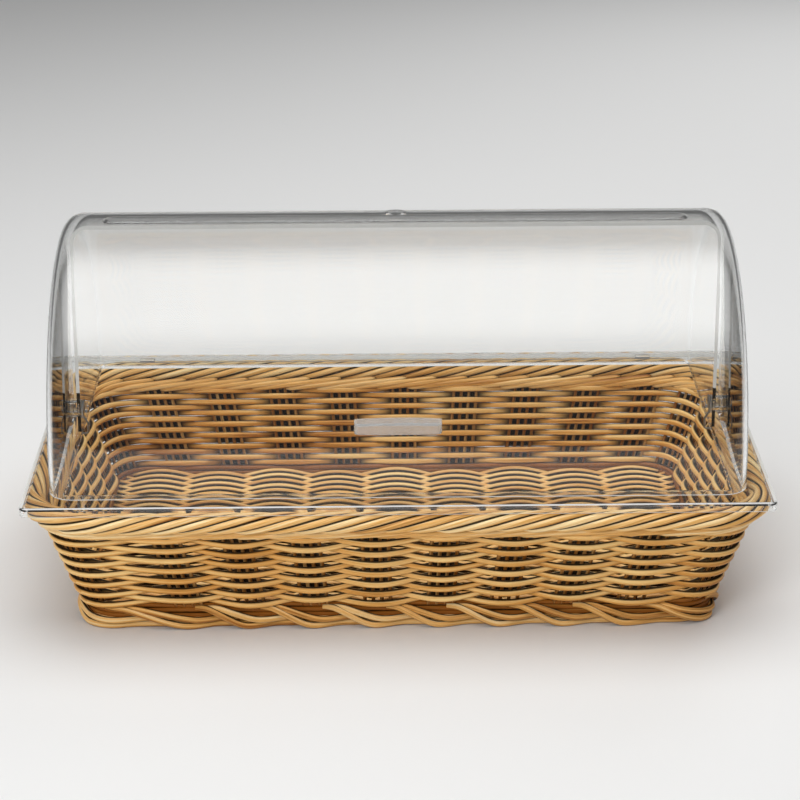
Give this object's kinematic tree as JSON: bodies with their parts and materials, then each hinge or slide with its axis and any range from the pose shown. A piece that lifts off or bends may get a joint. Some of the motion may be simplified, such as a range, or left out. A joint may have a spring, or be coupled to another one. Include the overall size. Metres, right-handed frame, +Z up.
{
  "type": "countertop bread display bin",
  "caption": "Woven rectangular basket with a clear roll-top cover: a front lid turns on two side pivots back over a fixed rear shell that lifts off.",
  "frame": {"origin": "on the table, under the middle of the basket", "axes": "+Z up, front towards -Y, length along X"},
  "size_m": [0.5354, 0.331, 0.2702],
  "materials": {
    "rattan_strand": "satin, ribbed along the strand",
    "rattan_stake": "satin",
    "rattan_border": "satin, ribbed along the strand",
    "clear_base": "clear, polished",
    "clear_lid": "clear, polished",
    "clear_handle": "clear, polished",
    "clear_pin": "clear, polished",
    "spring_wire": "dark spring wire"
  },
  "bodies": {
    "basket": {"weaver_row_01": "rattan_strand", "weaver_row_02": "rattan_strand", "weaver_row_03": "rattan_strand", "weaver_row_04": "rattan_strand", "weaver_row_05": "rattan_strand", "weaver_row_06": "rattan_strand", "weaver_row_07": "rattan_strand", "weaver_row_08": "rattan_strand", "weaver_row_09": "rattan_strand", "weaver_row_10": "rattan_strand", "weaver_row_11": "rattan_strand", "weaver_row_12": "rattan_strand", "weaver_row_13": "rattan_strand", "weaver_row_14": "rattan_strand", "wall_stakes": "rattan_stake", "rim_border": "rattan_border", "foot_border": "rattan_border", "floor_sticks": "rattan_stake", "floor_weave": "rattan_strand"},
    "cover": {"cover_base": "clear_base", "pivot_pins": "clear_pin", "pivot_clips": "spring_wire"},
    "lid": {"roll_lid": "clear_lid", "lid_handle": "clear_handle"}
  },
  "joints": [
    {"name": "cover_lift", "type": "slide", "parent": "basket", "child": "cover", "axis": [0, 0, 1], "range_m": [0, 0.2]},
    {"name": "lid_roll", "type": "hinge", "parent": "cover", "child": "lid", "pos_m": [0, 0, 0.1195], "axis": [-1, 0, 0], "range_deg": [0, 90]}
  ]
}
